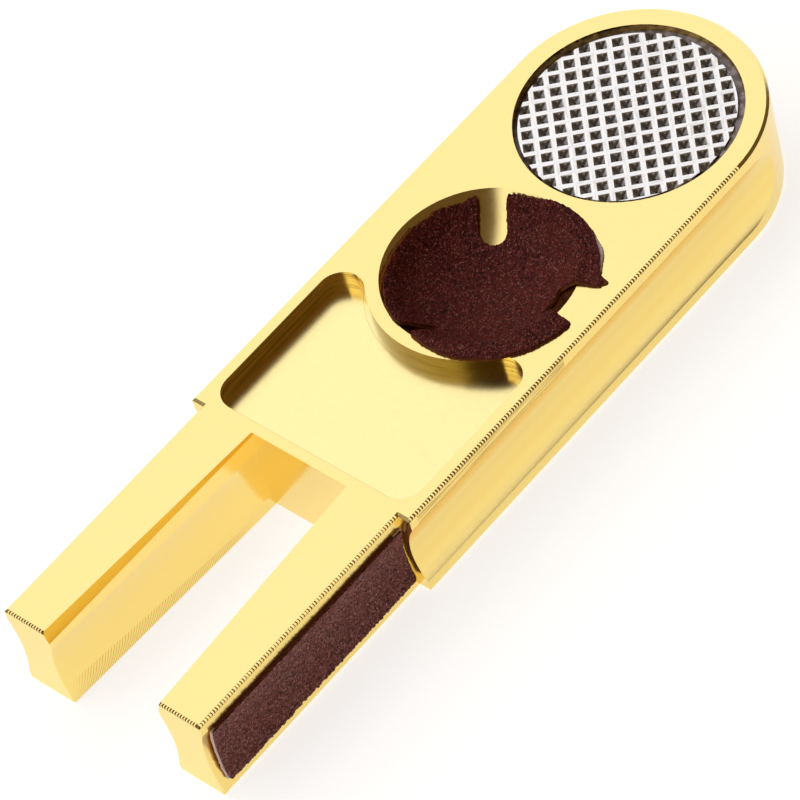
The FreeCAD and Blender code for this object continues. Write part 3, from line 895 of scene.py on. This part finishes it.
# %% Strips
groove_width, groove_depth, prong_step = 7.4, 0.6, 1.25
groove_radius = (groove_width ** 2 / 4 + groove_depth ** 2) / (2 * groove_depth)
strip_middle = (strip_low + strip_high) / 2
strip_size = (strip_high.x - strip_low.x, strip_high.z - strip_low.z)
blank_size = (strip_size[0] + 1.2, strip_size[1] + 0.4)
groove_floor = half_width - prong_step - groove_depth


def on_groove(side):
    """Place function for one groove: u runs along the prong, v upwards; the tip end springs flat."""
    def place(u, v, height):
        reach = groove_radius - height
        bulge = reach - math.sqrt(reach ** 2 - v ** 2)
        sprung = 0.45 * min(max((-u - strip_size[0] / 2 + 4) / 4, 0), 1) ** 2
        y = side * (groove_floor + height + bulge + (0.5 - bulge) * sprung)
        return Vector((strip_middle.x + u, y, strip_middle.z + v))
    return place


def strip_margin(u, v, fringe=0.0, end_fringe=0.0, seed=0):
    """Distance inside a strip, whose end at the root reaches a little further."""
    wave = 0.05 * noise.noise(Vector((u, v, seed)) * 0.7) + 0.05 * noise.noise(Vector((u, v, seed)) * 4)
    ragged = 0.10 * noise.noise(Vector((u, 0, seed + 5)) * 3.2) if v < 0 else 0
    ends = strip_size[0] / 2 - 0.1 - abs(u) + end_fringe
    if u > 0:
        ends += 0.4
    sides = strip_size[1] / 2 - 0.02 - abs(v) + fringe + ragged
    corner = 0.25
    over = Vector((max(corner - ends, 0), max(corner - sides, 0)))
    rounded = corner - over.length if over.length > 0 else min(ends, sides)
    return rounded + wave


def strip_sheets(side_name, side, seed):
    place = on_groove(side)
    made = [
        grow_sheet(side_name + "_strip_film", film, blank_size, 0.2,
                   lambda u, v: strip_margin(u, v, 0.06, 0.08, seed), place, 0.0, 0.07),
        grow_sheet(side_name + "_strip_paper", paper, blank_size, 0.15,
                   lambda u, v: strip_margin(u, v, 0.03, 0.14, seed), place, 0.07, 0.25),
        grow_sheet(side_name + "_strip_abrasive", strip_grit, blank_size, 0.105,
                   lambda u, v: strip_margin(u, v, 0.0, 0.0, seed), place, 0.25, 0.40,
                   grain=0.085, seed=seed),
    ]
    rows = zip(made, ("tape", "backing", "abrasive"), ("adhesive_film", "backing_paper", "abrasive_grit"))
    for piece, layer, slot in rows:
        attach(piece, "root")
        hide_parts(f"{side_name}_prong_{layer}")


strip_sheets("right", -1, seed=21)
strip_sheets("left", 1, seed=35)

# %% [markdown]
# ## Chatter marks along the edges
#
# The cutter that broke the edges chattered, and left the chamfer crossed by small ridges about
# three to the millimetre. Each ridge is a three-sided bar that fills the chamfer back out to the
# sharp corner. One bar is made, then copied along an edge by a loop. The right side carries them
# from the round end to the tip, and so do both prong tips. The left side's edges are left plain.

# %% Ridges
edge_break = 0.25


def ridge_bar(shape, length, width):
    """Three-sided bar along X with its right angle at the origin, under the corner that it fills."""
    corners = [shape.verts.new(place) for place in ((0, 0, 0), (0, -width, 0), (0, 0, -width))]
    end = shape.faces.new(corners)
    grown = bmesh.ops.extrude_face_region(shape, geom=[end])
    bmesh.ops.translate(shape, vec=(length, 0, 0), verts=of_kind(grown, bmesh.types.BMVert))
    return corners + of_kind(grown, bmesh.types.BMVert)


def ridge_row(name, start, end, outward, pitch, share, seed):
    """Row of ridges along the top edge from start to end; share is how much of the pitch one fills."""
    shape = bmesh.new()
    draw = random.Random(seed)
    along = (end - start).normalized()
    frame_rows = Matrix((along, outward, Vector((0, 0, 1)))).transposed().to_4x4()
    count = int((end - start).length / pitch)
    for step in range(count):
        length = pitch * share * draw.uniform(0.85, 1.12)
        bar = ridge_bar(shape, length, edge_break * draw.uniform(0.86, 0.97))
        place = start + along * pitch * (step + 0.5) - outward * 0.004
        bmesh.ops.transform(shape, matrix=Matrix.Translation(place) @ frame_rows, verts=bar)
    bmesh.ops.recalc_face_normals(shape, faces=shape.faces)
    bmesh.ops.scale(shape, vec=(MM, MM, MM), verts=shape.verts)
    row = to_object(shape, name, [gold])
    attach(row, "root")
    print(f"{name}: {count} ridges")


tip_x, prong_y = body_low.x / MM, half_width - prong_step
slot_corner = 6.75
corner_gap = edge_break + 0.03      # keeps the tip row clear of the row along the prong
for side, label in ((-1, "right"), (1, "left")):
    out = Vector((0, side, 0))
    if side < 0:
        long_start = Vector((shoulder_x, side * half_width, top))
        long_end = Vector((recess_x, side * half_width, top))
        ridge_row(label + "_bar_ridges", long_start, long_end, out, 0.33, 0.5, seed=41)
        prong_start = Vector((tip_x + 0.05, side * prong_y, top))
        prong_end = Vector((shoulder_x, side * prong_y, top))
        ridge_row(label + "_prong_ridges", prong_start, prong_end, out, 0.31, 0.66, seed=42)
    inner = Vector((tip_x, side * slot_corner, top))
    outer = Vector((tip_x, side * (prong_y - corner_gap), top))
    ridge_row(label + "_tip_ridges", inner, outer, Vector((-1, 0, 0)), 0.29, 0.5, seed=43)
